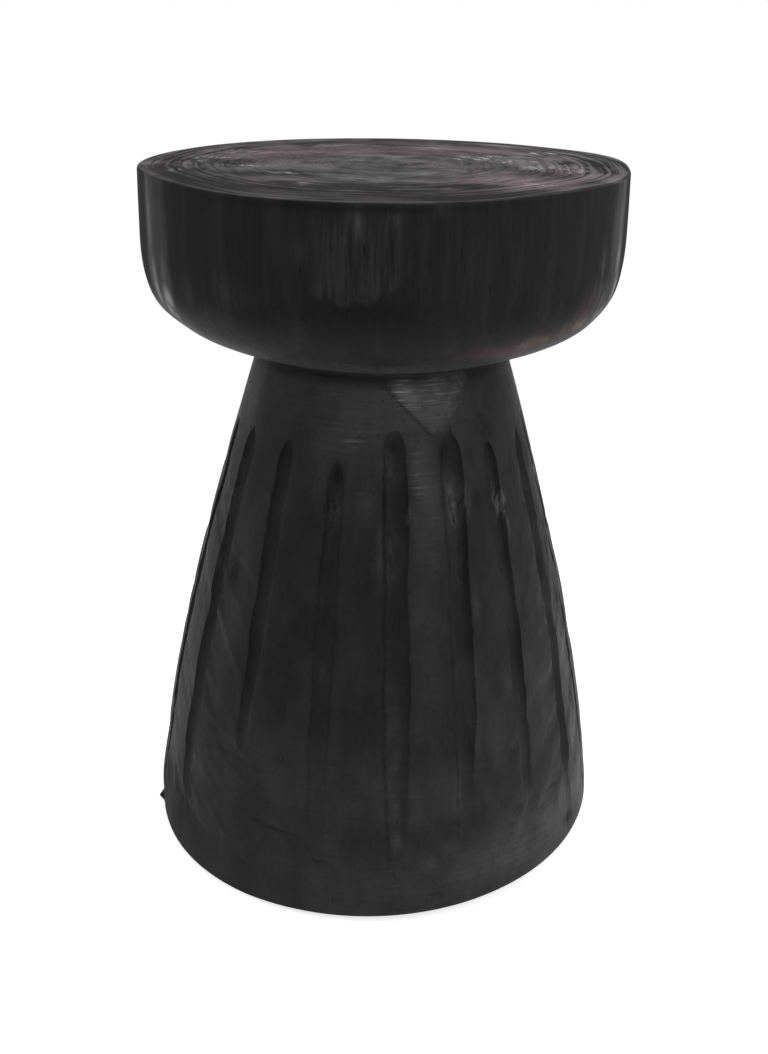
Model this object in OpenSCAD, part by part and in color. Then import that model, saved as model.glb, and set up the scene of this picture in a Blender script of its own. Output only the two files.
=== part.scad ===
// Low stool: a turned seat head on a fluted pedestal, joined at the neck by a loose tenon and dowels.
// Millimetres, +Z up. The origin is on the floor, under the middle of the stool; -Y is the front.

/* [Seat head] */
// Diameter of the seat
seat_d = 300; // [285:1:340]
// Height of the head, from the neck joint up to the seat
head_h = 111; // [100:1:140]
// Height of the bowl-shaped underside, from the neck joint to where the side stands upright
bowl_h = 74; // [60:1:85]
// Angle of the underside above level, where it leaves the neck
bowl_angle = 20; // [12:1:30]
// How far the underside keeps its direction at the neck
bowl_pull = 57; // [40:1:60]
// How far the side keeps its upright direction
side_pull = 52; // [30:1:60]
// Rounding of the seat's rim
rim_round = 3; // [1:0.5:6]

/* [Pedestal] */
// Height of the pedestal, from its underside up to the neck joint
pedestal_h = 339; // [300:1:400]
// Diameter at the neck joint
neck_d = 160; // [140:1:170]
// Diameter at the foot
foot_d = 315; // [290:1:340]
// Slope of the side away from upright, just below the neck
neck_slope = 16.5; // [12:0.5:20]
// Slope of the side away from upright, at the foot
foot_slope = 5; // [2:0.5:10]
// How far the side keeps its slope below the neck
neck_pull = 103; // [60:1:130]
// How far the side keeps its slope above the foot
foot_pull = 115; // [60:1:130]
// Rounding of the foot's edge
foot_round = 2; // [1:0.5:5]
// Diameter of the shallow turned hollow under the foot
hollow_d = 150; // [100:1:180]
// Depth of that hollow
hollow_depth = 3; // [1:0.5:6]

/* [Flutes] */
// How many flutes run round the pedestal
flute_count = 18; // [12:1:20]
// Radius of the gouge that cuts them
flute_r = 9; // [7:0.5:10]
// Depth of a flute at its ends; the bulging side makes its middle deeper
flute_depth = 3.5; // [2:0.5:5]
// Length of a flute's narrowing tips
flute_tip = 14; // [8:1:24]
// Distance from the neck joint down to the highest flute
flute_top_gap = 32; // [25:1:60]
// Distance from the underside up to the lowest flute
flute_foot_gap = 44; // [30:1:80]
// How far the hand-cut ends differ in height
flute_stagger = 18; // [0:1:24]
// Angle from the front to the nearest flute
first_flute = 7.5; // [0:0.5:20]

/* [Neck joint] */
// Chamfer on both edges of the neck joint
joint_ease = 0.8; // [0.4:0.2:1.6]
// Diameter of the loose tenon
tenon_d = 50; // [40:1:60]
// Depth of the tenon's bore in the head
tenon_in_head = 45; // [30:1:60]
// Depth of the tenon's bore in the pedestal
tenon_in_pedestal = 60; // [40:1:90]
// Diameter of the dowels that keep the head from turning
dowel_d = 10; // [8:1:12]
// Depth of a dowel's bore in each piece
dowel_depth = 20; // [14:1:28]
// How many dowels stand round the tenon
dowel_count = 3; // [2:1:5]
// Diameter of the circle that the dowels stand on
dowel_circle_d = 110; // [90:1:120]
// Chamfer on the ends of the tenon and the dowels
peg_chamfer = 1.5; // [0.5:0.5:2]
// How many glue grooves run along the tenon and each dowel
groove_count = 8; // [4:1:10]
// Radius of a glue groove
groove_r = 0.8; // [0.4:0.2:1.2]

/* [Glides] */
// How many glides the foot stands on
glide_count = 4; // [3:1:6]
// Diameter of the circle that the glides sit on
glide_circle_d = 220; // [215:1:250]
// Diameter of a glide's cup
cup_d = 28; // [24:1:32]
// Height of the cup
cup_h = 3; // [2.8:0.1:4]
// Width of the cup's rim round the felt
cup_rim = 2; // [1.5:0.5:3]
// Depth of the cup's recess for the felt
felt_recess = 1.2; // [0.8:0.1:1.4]
// How far the felt stands out below the cup
felt_proud = 0.8; // [0.5:0.1:1.5]
// How deep the cup is let into the foot
glide_sink = 0.8; // [0.4:0.1:1.4]
// Chamfer on the cup's lower edge
cup_ease = 0.5; // [0.2:0.1:0.8]
// Diameter of the nail's shank
nail_d = 2.4; // [2:0.1:3]
// Length of the nail below its head
nail_l = 16; // [12:1:22]
// Length of the nail's point
nail_point = 3; // [2:0.5:5]
// Diameter of the nail's head
nail_head_d = 7.6; // [6:0.2:9]
// Height of the nail's head
nail_head_h = 0.8; // [0.6:0.1:1]

/* [Clearances] */
// Glue clearance round the tenon and the dowels
glue_gap = 0.1; // [0.05:0.05:0.3]
// Room for glue beyond each end of the tenon and the dowels
end_gap = 0.9; // [0.5:0.1:2]
// Clearance round the nail's shank and head
nail_gap = 0.05; // [0.02:0.01:0.1]
// Clearance round the cup in the foot
cup_gap = 0.2; // [0.1:0.1:0.5]
// Clearance round the felt in its cup
felt_gap = 0.1; // [0.05:0.05:0.3]

/* [Hidden] */

$fn = 96;
// Angle of the front, which faces -Y
front = -90;
// Straight steps along a curved outline, and round a small rounding
curve_steps = 16;
round_steps = 4;
// How far a cutter runs past the face that it opens
past = 1;
// Turn between flutes that spreads their heights evenly without a pattern
scatter = 137.5;

seat_r = seat_d / 2;
neck_r = neck_d / 2;
foot_r = foot_d / 2;
hollow_r = hollow_d / 2;
cup_r = cup_d / 2;
felt_r = cup_r - cup_rim - felt_gap;
felt_h = felt_recess + felt_proud;
nail_r = nail_d / 2;
nail_head_r = nail_head_d / 2;

// Heights above the floor
underside_z = felt_proud + cup_h - glide_sink;
joint_z = underside_z + pedestal_h;
cup_top_z = felt_proud + cup_h;
nail_head_top_z = felt_h + nail_head_h;

// Points of a smooth curve from a to d, which leaves a towards b and reaches d from c
function curve(a, b, c, d) = [
    for (i = [0:curve_steps])
        let (t = i / curve_steps, u = 1 - t)
            a * u * u * u + b * 3 * t * u * u + c * 3 * t * t * u + d * t * t * t
];

// Points of an arc round a centre, between two angles
function arc(centre, r, from, to) = [
    for (i = [0:round_steps])
        let (q = from + (to - from) * i / round_steps)
            centre + r * [cos(q), sin(q)]
];

// The pedestal's side, from the foot's rounding up to the neck's chamfer, as radius and height
side_low = [foot_r, foot_round];
side_high = [neck_r, pedestal_h - joint_ease];
side = curve(
    side_low,
    side_low + foot_pull * [-sin(foot_slope), cos(foot_slope)],
    side_high - neck_pull * [-sin(neck_slope), cos(neck_slope)],
    side_high
);
function side_r(z) = lookup(z, [for (p = side) [p[1], p[0]]]);

// A number from 0 to 1 that differs from flute to flute
function uneven(i) = (1 + sin(scatter * i)) / 2;

module turned(points) {
    rotate_extrude() polygon(points);
}

// Places its children evenly on a circle, the first one at an angle from the front.
// With only set, just that one is placed, counting from 0.
module ring(count, r, first = 0, only = -1) {
    for (i = [0:count - 1])
        if (only < 0 || only == i)
            rotate([0, 0, front + first + i * 360 / count])
                translate([r, 0, 0])
                    children();
}

// A wooden peg with chamfered ends and glue grooves, standing on its own zero
module peg(d, l) {
    r = d / 2;
    c = peg_chamfer;
    difference() {
        turned([[0, 0], [r - c, 0], [r, c], [r, l - c], [r - c, l], [0, l]]);
        for (i = [0:groove_count - 1])
            rotate([0, 0, i * 360 / groove_count])
                translate([r, 0, -past])
                    cylinder(r = groove_r, h = l + 2 * past);
    }
}

// The bore that a peg is glued into, from a face up or down by its depth
module peg_bore(d, depth, up) {
    translate([0, 0, up ? -past : -depth])
        cylinder(d = d + 2 * glue_gap, h = depth + past);
}

// The bores for the tenon and the dowels, on one side of the neck joint
module joint_bores(tenon_depth, up) {
    translate([0, 0, joint_z]) {
        peg_bore(tenon_d, tenon_depth, up);
        ring(dowel_count, dowel_circle_d / 2)
            peg_bore(dowel_d, dowel_depth, up);
    }
}

// The gouge's round-nosed stroke: a long bar that narrows over its tips
module stroke(length) {
    tip = [for (i = [0:round_steps - 1])
        let (q = 90 * i / round_steps)
            [flute_r * cos(q), flute_tip * sin(q)]];
    turned(concat(
        [[0, 0]],
        [for (i = [round_steps - 1:-1:0]) [tip[i][0], flute_tip - tip[i][1]]],
        [for (p = tip) [p[0], length - flute_tip + p[1]]],
        [[0, length]]
    ));
}

// One flute's cutter, laid along the side between its own two ends
module flute_cut(i) {
    top = pedestal_h - flute_top_gap - flute_stagger * uneven(i);
    low = flute_foot_gap + flute_stagger * uneven(i + flute_count);
    lean = atan2(side_r(low) - side_r(top), top - low);
    away = flute_r - flute_depth;
    length = norm([side_r(low) - side_r(top), top - low]);
    rotate([0, 0, front + first_flute + i * 360 / flute_count])
        translate([side_r(low) + away * cos(lean), 0, underside_z + low + away * sin(lean)])
            rotate([0, -lean, 0])
                stroke(length);
}

// What one glide takes out of the foot: a seat for the cup, and the nail's pilot hole
module glide_cut() {
    translate([0, 0, underside_z - past])
        cylinder(r = cup_r + cup_gap, h = glide_sink + past);
    translate([0, 0, underside_z])
        cylinder(r = nail_r + nail_gap, h = nail_head_top_z + nail_l + end_gap - underside_z);
}

module seat_head() {
    bowl = curve(
        [neck_r, joint_ease],
        [neck_r, joint_ease] + bowl_pull * [cos(bowl_angle), sin(bowl_angle)],
        [seat_r, bowl_h - side_pull],
        [seat_r, bowl_h]
    );
    color("#2b292b")
        difference() {
            translate([0, 0, joint_z])
                turned(concat(
                    [[0, 0], [neck_r - joint_ease, 0]],
                    bowl,
                    arc([seat_r - rim_round, head_h - rim_round], rim_round, 0, 90),
                    [[0, head_h]]
                ));
            joint_bores(tenon_in_head, true);
        }
}

module pedestal() {
    color("#302f31")
        difference() {
            translate([0, 0, underside_z])
                turned(concat(
                    [[0, hollow_depth], [hollow_r - hollow_depth, hollow_depth], [hollow_r, 0]],
                    arc([foot_r - foot_round, foot_round], foot_round, -90, 0),
                    [for (i = [1:curve_steps]) side[i]],
                    [[neck_r - joint_ease, pedestal_h], [0, pedestal_h]]
                ));
            for (i = [0:flute_count - 1])
                flute_cut(i);
            joint_bores(tenon_in_pedestal, false);
            ring(glide_count, glide_circle_d / 2, 180 / glide_count)
                glide_cut();
        }
}

module neck_tenon() {
    color("#c4a06c")
        translate([0, 0, joint_z - tenon_in_pedestal + end_gap])
            peg(tenon_d, tenon_in_pedestal + tenon_in_head - 2 * end_gap);
}

module neck_dowel(i) {
    color("#cfae7c")
        translate([0, 0, joint_z - dowel_depth + end_gap])
            ring(dowel_count, dowel_circle_d / 2, 0, i - 1)
                peg(dowel_d, 2 * (dowel_depth - end_gap));
}

module glide_cup(i) {
    seat_z = felt_h;
    hole_r = nail_r + nail_gap;
    pocket_r = nail_head_r + nail_gap;
    color("#3a3a3c")
        ring(glide_count, glide_circle_d / 2, 180 / glide_count, i - 1)
            turned([
                [hole_r, nail_head_top_z], [pocket_r, nail_head_top_z], [pocket_r, seat_z],
                [cup_r - cup_rim, seat_z], [cup_r - cup_rim, felt_proud], [cup_r - cup_ease, felt_proud],
                [cup_r, felt_proud + cup_ease], [cup_r, cup_top_z], [hole_r, cup_top_z]
            ]);
}

module glide_felt(i) {
    color("#77736d")
        ring(glide_count, glide_circle_d / 2, 180 / glide_count, i - 1)
            cylinder(r = felt_r, h = felt_h);
}

module glide_nail(i) {
    color("#b9babb")
        ring(glide_count, glide_circle_d / 2, 180 / glide_count, i - 1)
            translate([0, 0, felt_h])
                turned([
                    [0, 0], [nail_head_r, 0], [nail_head_r, nail_head_h], [nail_r, nail_head_h],
                    [nail_r, nail_head_h + nail_l - nail_point], [0, nail_head_h + nail_l]
                ]);
}

seat_head();
pedestal();
neck_tenon();
for (i = [1:dowel_count])
    neck_dowel(i);
for (i = [1:glide_count])
    glide_cup(i);
for (i = [1:glide_count])
    glide_felt(i);
for (i = [1:glide_count])
    glide_nail(i);
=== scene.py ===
import math
import random
from typing import NamedTuple

import bpy
import numpy as np
from mathutils import Euler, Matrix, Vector, noise

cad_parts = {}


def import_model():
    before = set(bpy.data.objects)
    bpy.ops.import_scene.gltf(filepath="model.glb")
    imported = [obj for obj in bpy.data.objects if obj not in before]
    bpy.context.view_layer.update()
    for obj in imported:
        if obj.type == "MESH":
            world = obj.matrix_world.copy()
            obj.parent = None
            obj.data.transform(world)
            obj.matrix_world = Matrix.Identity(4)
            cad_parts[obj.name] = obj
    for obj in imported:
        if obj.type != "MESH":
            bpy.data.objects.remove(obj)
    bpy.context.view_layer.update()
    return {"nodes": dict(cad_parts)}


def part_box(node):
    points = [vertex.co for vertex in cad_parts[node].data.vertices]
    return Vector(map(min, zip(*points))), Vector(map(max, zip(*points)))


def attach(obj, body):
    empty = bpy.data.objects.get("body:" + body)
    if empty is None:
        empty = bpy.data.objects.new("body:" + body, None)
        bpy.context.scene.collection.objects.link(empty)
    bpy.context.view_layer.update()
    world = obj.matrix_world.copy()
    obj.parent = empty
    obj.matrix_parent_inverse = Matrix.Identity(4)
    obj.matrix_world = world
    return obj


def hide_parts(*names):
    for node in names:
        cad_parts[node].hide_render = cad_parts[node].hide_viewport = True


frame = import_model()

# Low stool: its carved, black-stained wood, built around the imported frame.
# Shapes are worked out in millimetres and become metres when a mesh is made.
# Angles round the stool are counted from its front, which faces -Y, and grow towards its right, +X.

MM = 0.001
SHARP_FROM = math.radians(40)


# Sizes that the frame gives, in millimetres

def box_mm(node):
    """Lowest and highest corner of a CAD node, in millimetres."""
    low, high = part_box(node)
    return np.array(low) / MM, np.array(high) / MM


head_low, head_high = box_mm("seat_head")
pedestal_low, pedestal_high = box_mm("pedestal")
tenon_low, tenon_high = box_mm("neck_tenon")
SEAT_R = (head_high[0] - head_low[0]) / 2
FOOT_R = (pedestal_high[0] - pedestal_low[0]) / 2
UNDERSIDE_Z = pedestal_low[2]
JOINT_Z = head_low[2]
SEAT_Z = head_high[2]
PEDESTAL_H = JOINT_Z - UNDERSIDE_Z
HEAD_H = SEAT_Z - JOINT_Z

# The rest of the construction, with part.scad's values
GLUE_GAP = 0.1
END_GAP = 0.9
NECK_R = 80.0
JOINT_EASE = 0.8
BOWL_H = 74.0
BOWL_ANGLE = math.radians(20)
BOWL_PULL = 57.0
SIDE_PULL = 52.0
RIM_ROUND = 1.8
NECK_SLOPE = math.radians(16.5)
FOOT_SLOPE = math.radians(5)
NECK_PULL = 103.0
FOOT_PULL = 115.0
FOOT_ROUND = 2.0
HOLLOW_R = 75.0
HOLLOW_DEPTH = 3.0
FLUTE_COUNT = 18
FIRST_FLUTE = 7.5
FLUTE_TOP_GAP = 32.0
FLUTE_FOOT_GAP = 44.0
FLUTE_STAGGER = 18.0
SCATTER = math.radians(137.5)
BORE_R = (tenon_high[0] - tenon_low[0]) / 2 + GLUE_GAP
BORE_TOP_Z = tenon_high[2] + END_GAP
BORE_LOW_Z = tenon_low[2] - END_GAP


# Shape helpers

def curve(a, b, c, d, t):
    """Points of a smooth curve from a to d, which leaves a towards b and reaches d from c."""
    a, b, c, d = (np.asarray(p, float) for p in (a, b, c, d))
    t = np.asarray(t)[:, None]
    u = 1 - t
    return a * u**3 + b * 3 * t * u**2 + c * 3 * t**2 * u + d * t**3


def smooth(x):
    """Rises smoothly from 0 to 1 as x goes from 0 to 1."""
    x = np.clip(x, 0, 1)
    return x * x * (3 - 2 * x)


def wobble(points, size, seed):
    """Smooth noise from -1 to 1 at points in millimetres, with features about as large as size."""
    flat = (points / np.asarray(size, float)).reshape(-1, 3) + np.array([17.31, 5.77, 9.13]) * seed
    values = np.array([noise.noise(Vector(p)) for p in flat])
    return values.reshape(points.shape[:-1])


def around_axis(radius, angle, height):
    """Points at a radius and an angle from the front, at a height."""
    return np.stack([radius * np.sin(angle), -radius * np.cos(angle), height + 0 * radius * angle], -1)


def turned(angle, at):
    """How far each angle is turned from another, from -pi to pi."""
    return (angle - at + math.pi) % (2 * math.pi) - math.pi


class Grid(NamedTuple):
    """Where a surface's points lie on its turned outline: angles, heights and radii."""
    angle: np.ndarray
    height: np.ndarray
    radius: np.ndarray


def blot(grid, at, up, wide, tall):
    """A soft spot: 1 at its middle, which is at an angle in degrees and a height, and 0 far off."""
    across = turned(grid.angle, math.radians(at)) * grid.radius / wide
    return np.exp(-across**2 - ((grid.height - up) / tall) ** 2)


def strongest_spot(spots, grid):
    """The strongest of some soft spots at each point."""
    strongest = np.zeros(grid.angle.shape)
    for *place, strength in spots:
        strongest = np.maximum(strongest, strength * blot(grid, *place))
    return strongest


def summed_spots(spots, grid):
    """The sum of some soft spots at each point."""
    return sum(strength * blot(grid, *place) for *place, strength in spots)


def bulges(spots, degrees):
    """The sum of some soft bulges round the stool: angle, half width in degrees, and height."""
    return sum(high * np.exp(-((degrees - at) / wide) ** 2) for at, wide, high in spots)


def face_rings(angle, steps):
    """Rings of points, one for each radius and height."""
    return [around_axis(radius, angle, height) for radius, height in steps]


def padded(marks, before, after):
    """Marks with zeros for the rings before and after those that carry them."""
    return {name: np.pad(values, ((before, after), (0, 0))) for name, values in marks.items()}


def in_scene(name, data):
    """A new object that holds some data, in the scene."""
    made = bpy.data.objects.new(name, data)
    bpy.context.scene.collection.objects.link(made)
    return made


def lathe_mesh(name, rings, low_pole, high_pole, marks):
    """A closed mesh from rings of points, top ring first, with a pole at each end.

    rings is rows x columns x 3 in millimetres, and marks holds named numbers for each of its points."""
    rows, columns = rings.shape[:2]
    points = np.concatenate([rings.reshape(-1, 3), [high_pole, low_pole]]) * MM
    high, low = rows * columns, rows * columns + 1
    index = np.arange(rows * columns).reshape(rows, columns)
    beside = np.roll(index, -1, 1)
    quads = np.stack([index[:-1], index[1:], beside[1:], beside[:-1]], -1)
    top_fan = np.stack([np.full(columns, high), index[0], beside[0]], -1)
    low_fan = np.stack([beside[-1], index[-1], np.full(columns, low)], -1)
    faces = quads.reshape(-1, 4).tolist() + top_fan.tolist() + low_fan.tolist()
    mesh = bpy.data.meshes.new(name)
    mesh.from_pydata(points.tolist(), [], faces)
    for mark, values in marks.items():
        layer = mesh.attributes.new(mark, "FLOAT", "POINT")
        ends = [values[0].mean(), values[-1].mean()]
        layer.data.foreach_set("value", np.append(values.reshape(-1), ends).astype(np.float32))
    mesh.polygons.foreach_set("use_smooth", [True] * len(mesh.polygons))
    mesh.set_sharp_from_angle(angle=SHARP_FROM)
    mesh.update()
    return in_scene(name, mesh)


def stand_for(piece, node, material):
    """Puts a piece in a CAD node's place, with its material."""
    piece.data.materials.append(material)
    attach(piece, "root")
    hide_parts(node)


# The pedestal

FLUTE_WALL = 3.6


class Flute(NamedTuple):
    """One flute, from neck_angle at its top to foot_angle at its foot, in degrees.

    It ends top_gap under the joint and foot_gap above the underside, and width_share is its width against the
    usual one. left_line, right_line and floor_shade_and_stain say how black its edges and floor are, from 0
    to 1, as painted shade in its hollows with some gathered staining. The higher right_wall is, the steeper
    its right wall."""
    neck_angle: float
    foot_angle: float
    top_gap: float
    foot_gap: float
    width_share: float
    left_line: float = 0.5
    right_line: float = 0.5
    floor_shade_and_stain: float = 0.4
    right_wall: float = FLUTE_WALL


# Flutes that the photograph shows, from left to right
SEEN_FLUTES = [
    Flute(-76.8, -76.8, 47, 8, 0.65, 0.6, 0.5, 0.8),
    Flute(-58.6, -57.9, 43, 8, 0.9, 0.4, 0.3, 0.75),
    Flute(-36.2, -36.9, 43, 66, 0.8, 0.4, 0.0, 0.1, 1.3),
    Flute(-15.6, -14.2, 50, 38, 0.85, 0.5, 0.35, 0.1),
    Flute(5.8, 5.4, 31, 38, 1.0, 1.0, 0.3, 0.35),
    Flute(27.2, 22.7, 33, 48, 0.95, 0.8, 0.2, 0.1),
    Flute(45.0, 41.7, 45, 56, 0.78, 0.25, 0.15, 0.2),
    Flute(66.2, 59.3, 46, 2, 0.87, 0.4, 0.1, 0.25, 1.8),
    Flute(80.0, 74.0, 42, 4, 0.34, 0.15, 0.1, 0.1),
]
FLUTE_HALF_WIDTH = 7.8
FLUTE_DEPTH = 4.0
FLUTE_TOP_LENGTH = 16.0
FLUTE_FADE_LENGTH = 95.0
FLUTE_NARROWEST = 1.2
FLUTE_COLUMNS = 14
LAND_COLUMNS = 15
SIDE_ROWS = 168
JOINT_ROWS = 10
JOINT_GROOVE = 1.0
JOINT_ZONE = 11.0

# Gouge strokes that the photograph shows: angle in degrees, height, half length, half width, depth, and
# lean in degrees, which is above zero where the stroke's upper end points right
SEEN_STROKES = [
    (-40, 93, 30, 9, 1.2, -62), (-25.5, 56, 21, 4, 0.9, -68), (-56, 34, 26, 7, 1, -60),
    (-48, 118, 26, 9, 0.9, -50), (-47, 150, 24, 8, 0.7, -48), (53.5, 59, 24, 7, 1.1, 62),
    (57, 129, 20, 7, 0.9, 55), (56, 100, 22, 7, 1, 60), (40, 101, 16, 6, 0.8, 50),
    (19.5, 62, 14, 5, 0.9, 40), (4.6, 43, 14, 5, 0.8, -35),
]
STROKE_COUNT = 260
STROKE_LOWEST = 38.0
STROKE_SPAN = 235.0
STROKE_LEANS = (30, 62)
STROKE_DEPTHS = (0.4, 0.9)
STROKE_HALF_LENGTHS = (16, 34)
STROKE_HALF_WIDTHS = (6, 11)

# Knife lines: angle and height of both ends, half width and strength. The photograph shows all but the
# last three, which are at the back.
KNIFE_LINES = [
    (1, 334, 19.6, 304, 1.3, 0.8), (-32, 55, -19, 53, 1.5, 0.9), (-63, 38, -47, 29, 1.6, 0.8),
    (-49, 95, -30, 90, 1.6, 0.4), (-66, 104, -60, 98, 1.5, 0.5), (48, 59, 59.5, 55, 1.6, 0.8),
    (43, 52, 50, 47, 1.5, 0.5), (55.5, 127, 59.5, 131, 1.6, 0.7), (53, 101, 60, 99, 1.5, 0.7),
    (37, 100, 40, 99, 1.6, 0.7), (18, 63, 21, 63, 1.6, 0.8), (3, 44, 6, 43, 1.6, 0.7),
    (14, 15, 17, 13, 1.6, 0.7), (-15, 40, -12, 39, 1.4, 0.7), (-35, 24, -32, 23, 1.5, 0.7),
    (42, 300, 47, 303, 1.5, 0.7), (-140, 120, -128, 112, 1.6, 0.7), (150, 80, 158, 86, 1.6, 0.7),
    (-172, 210, -166, 203, 1.5, 0.6),
]
KNIFE_DEPTH = 0.5
LAND_PROUD = 0.8
FOOT_FACE = 26.0
FOOT_SKEW = 5.6
FOOT_LOWEST = -3.0
WEDGE_LOW = 300.0
WEDGE_H = 36.0

# Where it stands out in millimetres: angle, height, half width, half height and how far. The last two are
# the splinter at the foot's left and the nick that it left above itself.
PEDESTAL_BULGES = [
    (85, 312, 60, 25, 0.8), (-80, 22, 30, 12, 0.8), (-52, 4, 70, 22, 2), (-79, 3.5, 3, 2, 4),
    (-79, 11, 4, 3, -0.8),
]

# Where it is paler: rubbed through the staining, and painted light where more light falls, as at the foot's
# right and along the right edge: angle, height, half width, half height and strength
RUBBED_AND_LIT_SPOTS = [
    (-2, 322, 44, 34, 1.15), (16, 272, 11, 40, 0.95), (14, 170, 12, 70, 0.25), (-18, 300, 30, 30, 0.5),
    (60, 30, 60, 30, 1.35), (36, 28, 50, 24, 1.1), (0, 20, 90, 34, 0.5), (-6, 85, 100, 34, 0.36),
    (50, 130, 14, 60, 0.25), (-62, 120, 16, 70, 0.15), (150, 300, 30, 40, 0.6), (-120, 290, 36, 45, 0.5),
    (-150, 40, 60, 30, 0.4), (120, 150, 30, 60, 0.3), (-48, 185, 9, 55, 0.3), (69, 130, 9, 90, 1.1),
    (10, 80, 8, 24, 0.5), (21, 80, 4, 24, 0.6), (33, 106, 10, 24, 0.35), (-4.5, 270, 7, 14, 0.55),
    (0.5, 240, 2, 25, 0.5), (5, 131, 6, 16, 0.6), (5.3, 77, 4, 12, 0.75), (-66, 314, 9, 22, 0.9),
    (-68, 18, 10, 14, 0.8), (5.2, 108, 4, 9, 0.9), (5.3, 56, 4, 10, 0.95), (24, 9, 16, 8, 0.6),
    (19, 46, 12, 8, 0.6), (14, 36, 9, 9, 0.8), (27.2, 122, 4, 34, 0.55), (30.3, 200, 3, 14, 0.5),
    (38.5, 144, 5, 10, 0.55), (41, 64, 6, 9, 0.85), (67.5, 79, 5, 14, 1.5), (-29, 334, 5, 4, 0.9),
    (77, 158, 4.5, 34, 0.65),
]

# Painted highlights, pale blotches on the flutes' floors and beside them: the same numbers
PAINTED_GLEAMS = [
    (-15.6, 258, 4, 12, 0.6), (4, 285, 5, 10, 0.3), (4.2, 232, 3, 26, 0.25), (26.6, 264, 3.6, 15, 0.8),
    (26.5, 228, 3, 20, 0.25), (30.8, 264, 3.2, 9, 0.6), (48, 241, 3, 8, 0.5), (47, 256, 3.5, 9, 1.6),
    (-60, 202, 4, 9, 0.4), (-62.5, 250, 5, 40, 0.3), (-64, 175, 5, 40, 0.1), (-66, 95, 6, 30, 0.2),
    (-17, 205, 3, 6, 0.15), (10.7, 256, 3, 9, 0.5), (70.5, 165, 5, 50, 0.6), (22, 210, 3, 8, 0.3),
    (-14.5, 160, 3, 8, 0.3),
]

# Where it is scraped to bare wood, in flecks and short level dashes: the same numbers
SCRAPED_SPOTS = [
    (10, 330, 5, 5, 3.2), (12.5, 326, 5, 3, 3.2), (19, 329, 16, 6, 0.5), (13.5, 278, 3.5, 17, 0.18),
    (-10.5, 303, 6, 8, 0.14),
]

# Where it is darker than around: the same numbers
STAINED_SPOTS = [
    (-27, 225, 13, 60, 0.8), (52, 322, 18, 26, 1.1), (-32, 300, 14, 22, 0.4), (-28, 160, 14, 40, 0.35),
    (-8, 168, 5, 8, 0.9), (35.8, 262, 4, 10, 1.3), (36.5, 288, 3.5, 6, 1), (-50, 209, 6, 10, 2),
    (-48, 60, 12, 12, 0.5), (-34, 70, 10, 14, 0.4), (5.5, 318, 5, 5, 0.4), (25.8, 290, 5, 10, 1.3),
    (5.8, 300, 5, 5, 0.8), (-51, 264, 8, 20, 1), (59.5, 21, 6, 6, 1.6), (72, 325, 14, 18, 0.8),
    (57, 255, 9, 40, 0.9), (42.5, 301, 12, 12, 2.6), (49.3, 189, 4, 10, 0.9), (42, 316, 4, 8, 1),
    (41.3, 255, 4, 12, 1.2), (71, 228, 5, 18, 1.6), (70.5, 173, 5, 16, 1.8), (70.7, 98, 4, 10, 1.5),
    (50.3, 116, 5, 22, 1.3), (-42.5, 209, 5, 12, 1), (-43, 97, 9, 10, 0.9), (36.5, 97, 4, 8, 1.4),
    (-57, 48, 6, 12, 1), (54, 47, 5, 8, 1), (-18.6, 205, 3, 8, 0.8), (-54, 84, 6, 24, 0.9),
    (22.3, 271, 2.5, 10, 0.9), (-13, 309, 4, 5, 1), (64, 204, 5, 16, 1.4), (-19, 93, 5, 8, 1),
]

# Where it is near black, mostly at the flutes' tops: the same numbers
BLACK_SPOTS = [
    (-15.4, 281, 4.5, 9, 1), (-17.5, 262, 1.6, 12, 0.8), (5.2, 297, 5.5, 9, 0.6), (9.6, 262, 3, 26, 0.4),
    (25.5, 293, 6, 9, 0.9), (44, 293, 4, 10, 0.5), (34.5, 290, 4, 4, 0.4), (35.8, 262, 3.5, 6, 0.5),
    (2, 268, 1.6, 26, 0.7), (-37, 286, 4, 10, 0.12), (58.8, 21, 6, 5, 0.5), (41.2, 252, 2, 14, 0.7),
]

# Where its sheen is dull: the same numbers
DULL_SPOTS = [
    (-78, 16, 60, 26, 1), (67, 215, 8, 34, 1), (72, 175, 5, 16, 1), (71, 100, 3.5, 8, 1),
    (62, 16, 12, 10, 0.8), (-57, 47, 7, 12, 0.8), (-50.6, 209, 6, 12, 0.7), (71, 280, 6, 12, 0.7),
]


def scattered(number):
    """A number from 0 to 1 that differs from flute to flute, as in part.scad."""
    return (1 + math.sin(SCATTER * number)) / 2


def flutes():
    """All the flutes, going round from the leftmost one that the photograph shows.

    Those that it doesn't show lie where the solid pedestal has them."""
    draw = random.Random(11)
    found = list(SEEN_FLUTES)
    step = 360 / FLUTE_COUNT
    hidden = math.ceil((found[-1].neck_angle + step / 2 - FIRST_FLUTE) / step)
    for number in range(hidden, hidden + FLUTE_COUNT - len(SEEN_FLUTES)):
        angle = FIRST_FLUTE + step * number + draw.uniform(-0.5, 0.5)
        found.append(Flute(
            angle, angle + draw.uniform(-0.8, 0.8),
            FLUTE_TOP_GAP + FLUTE_STAGGER * scattered(number),
            FLUTE_FOOT_GAP + FLUTE_STAGGER * scattered(number + FLUTE_COUNT),
            draw.uniform(0.95, 1.1),
        ))
    return found


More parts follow.
